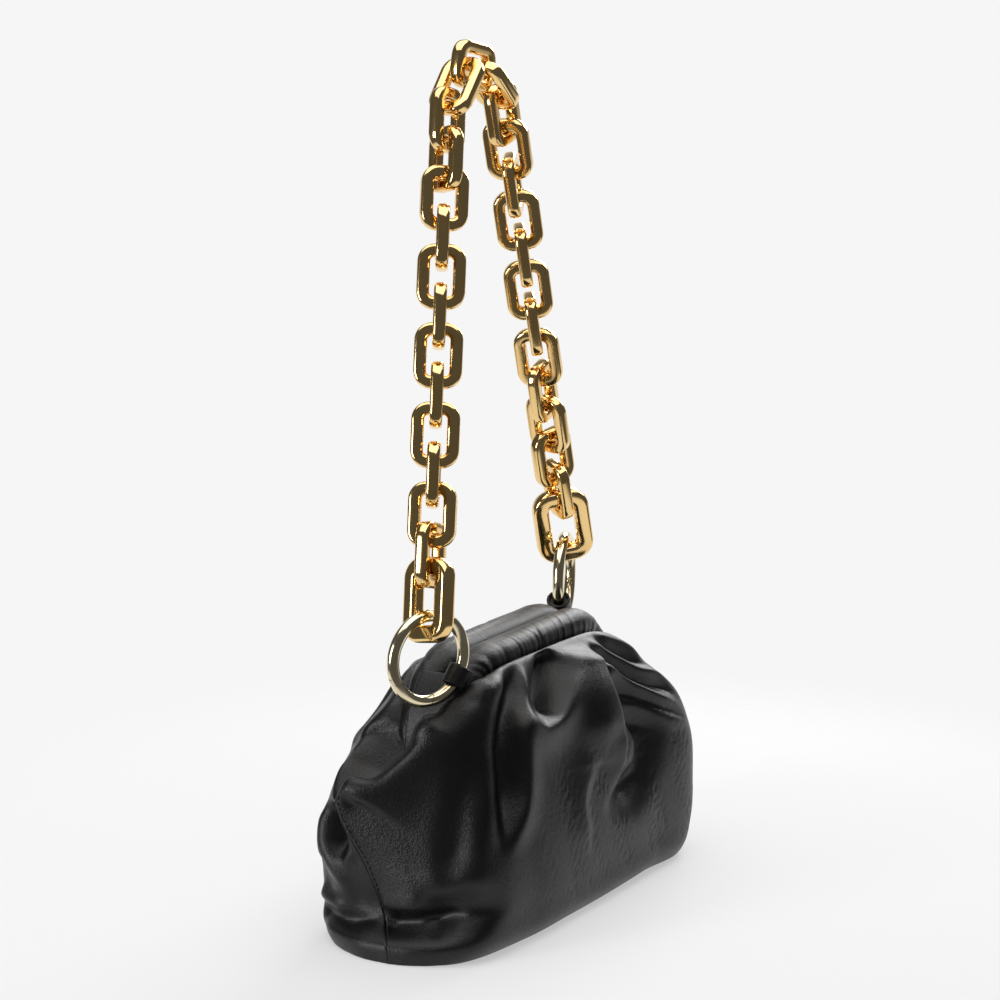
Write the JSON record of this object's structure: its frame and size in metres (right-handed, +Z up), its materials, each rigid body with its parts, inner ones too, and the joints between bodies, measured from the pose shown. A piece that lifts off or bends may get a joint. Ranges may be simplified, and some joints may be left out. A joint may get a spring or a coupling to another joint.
{
  "type": "chain shoulder bag",
  "caption": "Soft leather frame pouch with a padded hinged mouth and a chunky metal chain strap clipped on by spring-gate rings.",
  "frame": {"origin": "middle of the base, on the floor", "axes": "+Z up, X along the bag's length, -Y the pleated front"},
  "size_m": [0.2331, 0.105, 0.4324],
  "materials": {
    "black_leather": "smooth semi-gloss nappa",
    "lining": "matte twill",
    "board": "plain board",
    "foam": "open-cell foam",
    "steel": "plain",
    "block": "moulded",
    "pale_gold": "polished pale gold plate",
    "yellow_gold": "polished yellow gold plate"
  },
  "bodies": {
    "pouch": {"front_panel": "black_leather", "back_panel": "black_leather", "lining": "lining", "base_board": "board", "hinge_pin_left": "steel", "hinge_pin_right": "steel", "hinge_block_left": "block", "hinge_block_right": "block", "ring_tab_left": "black_leather", "ring_tab_right": "black_leather"},
    "frame_front_half": {"frame_front": "steel", "magnets_front": "steel", "roll_padding_front": "foam", "frame_roll_front": "black_leather"},
    "frame_back_half": {"frame_back": "steel", "magnets_back": "steel", "roll_padding_back": "foam", "frame_roll_back": "black_leather"},
    "ring_pair": {"ring_left": "pale_gold", "ring_right": "pale_gold", "gate_pin_left": "pale_gold", "gate_pin_right": "pale_gold"},
    "gate_left": {"gate_left": "pale_gold"},
    "gate_right": {"gate_right": "pale_gold"},
    "end_link_pair": {"end_link_left": "yellow_gold", "end_link_right": "yellow_gold"},
    "link_pair_01": {"link_left_01": "yellow_gold", "link_right_01": "yellow_gold"},
    "link_pair_02": {"link_left_02": "yellow_gold", "link_right_02": "yellow_gold"},
    "link_pair_03": {"link_left_03": "yellow_gold", "link_right_03": "yellow_gold"},
    "link_pair_04": {"link_left_04": "yellow_gold", "link_right_04": "yellow_gold"},
    "link_pair_05": {"link_left_05": "yellow_gold", "link_right_05": "yellow_gold"},
    "link_pair_06": {"link_left_06": "yellow_gold", "link_right_06": "yellow_gold"},
    "link_pair_07": {"link_left_07": "yellow_gold", "link_right_07": "yellow_gold"},
    "link_pair_08": {"link_left_08": "yellow_gold", "link_right_08": "yellow_gold"},
    "link_pair_09": {"link_left_09": "yellow_gold", "link_right_09": "yellow_gold"},
    "link_pair_10": {"link_left_10": "yellow_gold", "link_right_10": "yellow_gold"},
    "link_pair_11": {"link_left_11": "yellow_gold", "link_right_11": "yellow_gold"},
    "link_pair_12": {"link_left_12": "yellow_gold", "link_right_12": "yellow_gold"},
    "top_link_pair": {"link_top_left": "yellow_gold", "link_top_right": "yellow_gold"},
    "link_top_middle": {"link_top_middle": "yellow_gold"}
  },
  "joints": [
    {"name": "frame_open", "type": "hinge", "parent": "pouch", "child": "frame_front_half", "pos_m": [0, 0, 0.086], "axis": [1, 0, 0], "range_deg": [0, 26]},
    {"name": "frame_open_back", "type": "hinge", "parent": "pouch", "child": "frame_back_half", "pos_m": [0, 0, 0.086], "axis": [-1, 0, 0], "range_deg": [0, 26]},
    {"name": "strap_sway", "type": "hinge", "parent": "pouch", "child": "ring_pair", "pos_m": [-0.07755, -0.016, 0.13255], "axis": [0.9818, 0.1899, 0], "range_deg": [-4, 4]},
    {"name": "end_link_pair_sway", "type": "hinge", "parent": "ring_pair", "child": "end_link_pair", "pos_m": [-0.09474, -0.00993, 0.16167], "axis": [0.9878, 0.1558, 0], "range_deg": [-8, 8]},
    {"name": "link_pair_01_sway", "type": "hinge", "parent": "end_link_pair", "child": "link_pair_01", "pos_m": [-0.08833, -0.00719, 0.1838], "axis": [0.9886, 0.1505, 0], "range_deg": [-8, 8]},
    {"name": "link_pair_02_sway", "type": "hinge", "parent": "link_pair_01", "child": "link_pair_02", "pos_m": [-0.08304, -0.00493, 0.20211], "axis": [0.9894, 0.1455, 0], "range_deg": [-8, 8]},
    {"name": "link_pair_03_sway", "type": "hinge", "parent": "link_pair_02", "child": "link_pair_03", "pos_m": [-0.07774, -0.00267, 0.22043], "axis": [0.9902, 0.1397, 0], "range_deg": [-8, 8]},
    {"name": "link_pair_04_sway", "type": "hinge", "parent": "link_pair_03", "child": "link_pair_04", "pos_m": [-0.07244, -0.00041, 0.23874], "axis": [0.9911, 0.133, 0], "range_deg": [-8, 8]},
    {"name": "link_pair_05_sway", "type": "hinge", "parent": "link_pair_04", "child": "link_pair_05", "pos_m": [-0.06714, 0.00185, 0.25706], "axis": [0.9921, 0.1251, 0], "range_deg": [-8, 8]},
    {"name": "link_pair_06_sway", "type": "hinge", "parent": "link_pair_05", "child": "link_pair_06", "pos_m": [-0.06184, 0.00412, 0.27537], "axis": [0.9933, 0.1158, 0], "range_deg": [-8, 8]},
    {"name": "link_pair_07_sway", "type": "hinge", "parent": "link_pair_06", "child": "link_pair_07", "pos_m": [-0.05654, 0.00638, 0.29369], "axis": [0.9945, 0.1046, 0], "range_deg": [-8, 8]},
    {"name": "link_pair_08_sway", "type": "hinge", "parent": "link_pair_07", "child": "link_pair_08", "pos_m": [-0.05124, 0.00864, 0.312], "axis": [0.9959, 0.0908, 0], "range_deg": [-8, 8]},
    {"name": "link_pair_09_sway", "type": "hinge", "parent": "link_pair_08", "child": "link_pair_09", "pos_m": [-0.04594, 0.0109, 0.33032], "axis": [0.9973, 0.0735, 0], "range_deg": [-8, 8]},
    {"name": "link_pair_10_sway", "type": "hinge", "parent": "link_pair_09", "child": "link_pair_10", "pos_m": [-0.04064, 0.01316, 0.34863], "axis": [0.9987, 0.0511, 0], "range_deg": [-8, 8]},
    {"name": "link_pair_11_sway", "type": "hinge", "parent": "link_pair_10", "child": "link_pair_11", "pos_m": [-0.03535, 0.01542, 0.36695], "axis": [0.9998, 0.0211, 0], "range_deg": [-8, 8]},
    {"name": "link_pair_12_sway", "type": "hinge", "parent": "link_pair_11", "child": "link_pair_12", "pos_m": [-0.03005, 0.01769, 0.38526], "axis": [0.9998, -0.0211, 0], "range_deg": [-8, 8]},
    {"name": "top_link_pair_sway", "type": "hinge", "parent": "link_pair_12", "child": "top_link_pair", "pos_m": [-0.0248, 0.01992, 0.40339], "axis": [0.9965, -0.0834, 0], "range_deg": [-8, 8]},
    {"name": "top_link_twist", "type": "hinge", "parent": "top_link_pair", "child": "link_top_middle", "pos_m": [-0.00417, 0.018, 0.41915], "axis": [0.9758, -0.0682, -0.2079], "range_deg": [-10, 10]},
    {"name": "gate_left_open", "type": "hinge", "parent": "ring_pair", "child": "gate_left", "pos_m": [-0.11199, -0.00209, 0.13711], "axis": [-0.3746, -0.9272, 0], "range_deg": [0, 24], "stiffness_Nm_per_rad": 0.06, "springref_deg": -20.05},
    {"name": "gate_right_open", "type": "hinge", "parent": "ring_pair", "child": "gate_right", "pos_m": [0.11245, 0.0267, 0.13711], "axis": [-0.342, 0.9397, 0], "range_deg": [0, 24], "stiffness_Nm_per_rad": 0.06, "springref_deg": -20.05}
  ],
  "couplings": [
    {"joint": "frame_open_back", "follows": "frame_open", "ratio": 1}
  ]
}
